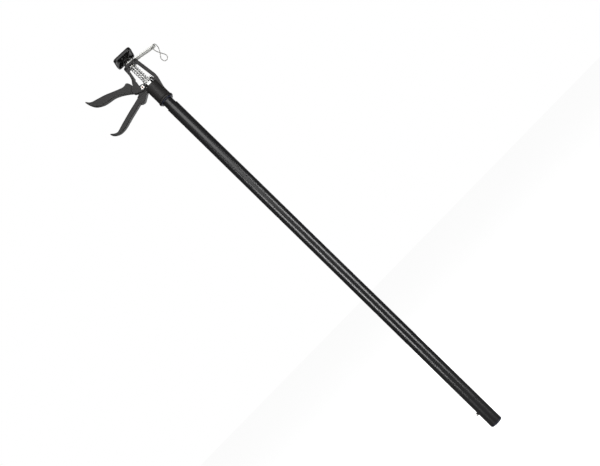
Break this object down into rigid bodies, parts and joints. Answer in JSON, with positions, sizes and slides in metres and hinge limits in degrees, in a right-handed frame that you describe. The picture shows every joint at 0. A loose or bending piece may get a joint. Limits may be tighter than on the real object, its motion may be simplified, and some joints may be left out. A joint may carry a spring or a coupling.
{
  "type": "telescopic support pole",
  "caption": "Telescopic support pole with a squeeze-lever head that drives a rod with a swivelling square pad, a release strip with a wire pull ring and a snap-button tube lock.",
  "frame": {"origin": "centre of the pole's lower end face", "axes": "+Z along the pole, pad up; levers and snap button towards -X, release strip towards +X"},
  "size_m": [0.2261, 0.0536, 1.187],
  "materials": {
    "tube": "black satin powder coat on steel tube",
    "casting": "charcoal painted die casting",
    "cap": "moulded plastic, very dark blue",
    "liner": "moulded plastic, dark blue",
    "nylon": "natural nylon",
    "chrome": "bright plated steel",
    "steel": "satin zinc-plated steel",
    "wire": "plated spring wire",
    "copper": "copper-brown core",
    "bronze": "sintered bronze",
    "pad_plastic": "moulded black plastic",
    "rubber": "matt black rubber"
  },
  "bodies": {
    "outer_pole": {"outer_tube": "tube", "pole_end_cap": "cap"},
    "inner_pole": {"inner_tube": "tube", "inner_tube_plug": "nylon", "button_spring": "steel", "yoke_casting": "casting", "collar_liner": "liner", "collar_set_screw": "steel", "rod_nut": "chrome", "rod_bush": "bronze", "main_spring": "chrome", "pivot_rivet": "chrome", "rivet_core": "copper", "release_spring": "steel"},
    "button": {"snap_button": "steel"},
    "lever": {"squeeze_lever": "casting"},
    "drive_plates": {"drive_plate_lower": "chrome", "drive_plate_upper": "chrome", "spring_seat": "chrome"},
    "rod": {"push_rod": "chrome", "rod_stop": "nylon", "swivel_clip": "steel"},
    "swivel": {"swivel_head": "steel"},
    "pad": {"pad_plate": "pad_plastic", "pad_facing": "rubber", "tilt_pin_near": "steel", "tilt_pin_far": "steel"},
    "strip": {"release_strip": "steel"},
    "ring": {"pull_ring": "wire"}
  },
  "joints": [
    {"name": "pole_extension", "type": "slide", "parent": "outer_pole", "child": "inner_pole", "axis": [0, 0, 1], "range_m": [0, 0.9246], "deforming": ["snap_button"]},
    {"name": "button_press", "type": "slide", "parent": "inner_pole", "child": "button", "axis": [1, 0, 0], "range_m": [0, 0.0062], "stiffness_N_per_m": 500, "springref_m": -0.004, "deforming": ["button_spring"]},
    {"name": "lever_squeeze", "type": "hinge", "parent": "inner_pole", "child": "lever", "pos_m": [-0.0177, 0, 1.0991], "axis": [0, -1, 0], "range_deg": [0, 26], "stiffness_Nm_per_rad": 1.2, "springref_deg": -14.32},
    {"name": "plates_slide", "type": "slide", "parent": "inner_pole", "child": "drive_plates", "axis": [0, 0, 1], "range_m": [0, 0.0039], "deforming": ["main_spring"]},
    {"name": "rod_advance", "type": "slide", "parent": "inner_pole", "child": "rod", "axis": [0, 0, 1], "range_m": [0, 0.235]},
    {"name": "pad_swivel", "type": "hinge", "parent": "rod", "child": "swivel", "pos_m": [0, 0, 1.175], "axis": [0, 0, 1], "continuous": true},
    {"name": "pad_tilt", "type": "hinge", "parent": "swivel", "child": "pad", "pos_m": [0, 0, 1.175], "axis": [-0.1115, 0.9938, 0], "range_deg": [-10, 10]},
    {"name": "strip_release", "type": "hinge", "parent": "inner_pole", "child": "strip", "pos_m": [-0.0054, 0, 1.1677], "axis": [0, -1, 0], "range_deg": [0, 6], "stiffness_Nm_per_rad": 0.3, "springref_deg": -14.32},
    {"name": "ring_swing", "type": "hinge", "parent": "strip", "child": "ring", "pos_m": [0.06868, 0, 1.1525], "axis": [0, 1, 0], "range_deg": [-25, 25]}
  ],
  "couplings": [
    {"joint": "plates_slide", "follows": "lever_squeeze", "m_per_rad": 0.0085}
  ]
}
